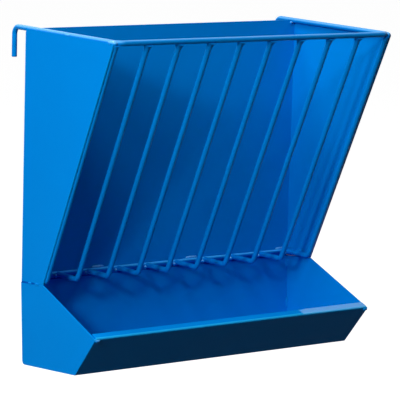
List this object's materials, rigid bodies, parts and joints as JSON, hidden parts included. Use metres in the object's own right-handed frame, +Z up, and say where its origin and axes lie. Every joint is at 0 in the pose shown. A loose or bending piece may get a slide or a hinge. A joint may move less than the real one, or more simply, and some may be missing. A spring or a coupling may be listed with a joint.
{
  "type": "hay rack",
  "caption": "Powder-coated steel hay rack with a slanted bar grille over a feed trough, hung on a fence by two hooks.",
  "frame": {"origin": "where the top of the rail meets the rear face of the back panel, half way between the hooks", "axes": "+X along the rail, to the right as seen from the front; +Y back through the rail; +Z up"},
  "size_m": [0.5028, 0.2935, 0.5138],
  "materials": {
    "shell_coat": "gloss powder coat",
    "trough_coat": "gloss powder coat",
    "rod_coat": "gloss powder coat",
    "bar_coat": "gloss powder coat",
    "weld_coat": "gloss powder coat over weld"
  },
  "bodies": {
    "root": {"shell": "shell_coat", "trough_pan": "trough_coat", "trough_end_left": "trough_coat", "trough_end_right": "trough_coat", "top_frame": "rod_coat", "cross_rod": "rod_coat", "edge_bar_left": "bar_coat", "grille_bar_1": "bar_coat", "grille_bar_2": "bar_coat", "grille_bar_3": "bar_coat", "grille_bar_4": "bar_coat", "grille_bar_5": "bar_coat", "grille_bar_6": "bar_coat", "grille_bar_7": "bar_coat", "grille_bar_8": "bar_coat", "edge_bar_right": "bar_coat", "weld_corner_left": "weld_coat", "weld_corner_right": "weld_coat", "weld_cross_rod_1": "weld_coat", "weld_cross_rod_2": "weld_coat", "weld_cross_rod_3": "weld_coat", "weld_foot_edge_bar_left": "weld_coat", "weld_foot_edge_bar_right": "weld_coat", "weld_foot_grille_bar_1": "weld_coat", "weld_foot_grille_bar_2": "weld_coat", "weld_foot_grille_bar_3": "weld_coat", "weld_foot_grille_bar_4": "weld_coat", "weld_foot_grille_bar_5": "weld_coat", "weld_foot_grille_bar_6": "weld_coat", "weld_foot_grille_bar_7": "weld_coat", "weld_foot_grille_bar_8": "weld_coat", "weld_lip_left": "weld_coat", "weld_lip_right": "weld_coat", "weld_notch_left": "weld_coat", "weld_notch_right": "weld_coat", "weld_seam_left_1": "weld_coat", "weld_seam_left_2": "weld_coat", "weld_seam_rear_1": "weld_coat", "weld_seam_rear_2": "weld_coat", "weld_seam_right_1": "weld_coat", "weld_seam_right_2": "weld_coat", "weld_side_edge_bar_left": "weld_coat", "weld_side_edge_bar_right": "weld_coat", "weld_side_rod_left": "weld_coat", "weld_side_rod_right": "weld_coat", "weld_top_edge_bar_left": "weld_coat", "weld_top_edge_bar_right": "weld_coat", "weld_top_grille_bar_1": "weld_coat", "weld_top_grille_bar_2": "weld_coat", "weld_top_grille_bar_3": "weld_coat", "weld_top_grille_bar_4": "weld_coat", "weld_top_grille_bar_5": "weld_coat", "weld_top_grille_bar_6": "weld_coat", "weld_top_grille_bar_7": "weld_coat", "weld_top_grille_bar_8": "weld_coat", "weld_trough_left_1": "weld_coat", "weld_trough_left_2": "weld_coat", "weld_trough_right_1": "weld_coat", "weld_trough_right_2": "weld_coat"}
  },
  "joints": []
}
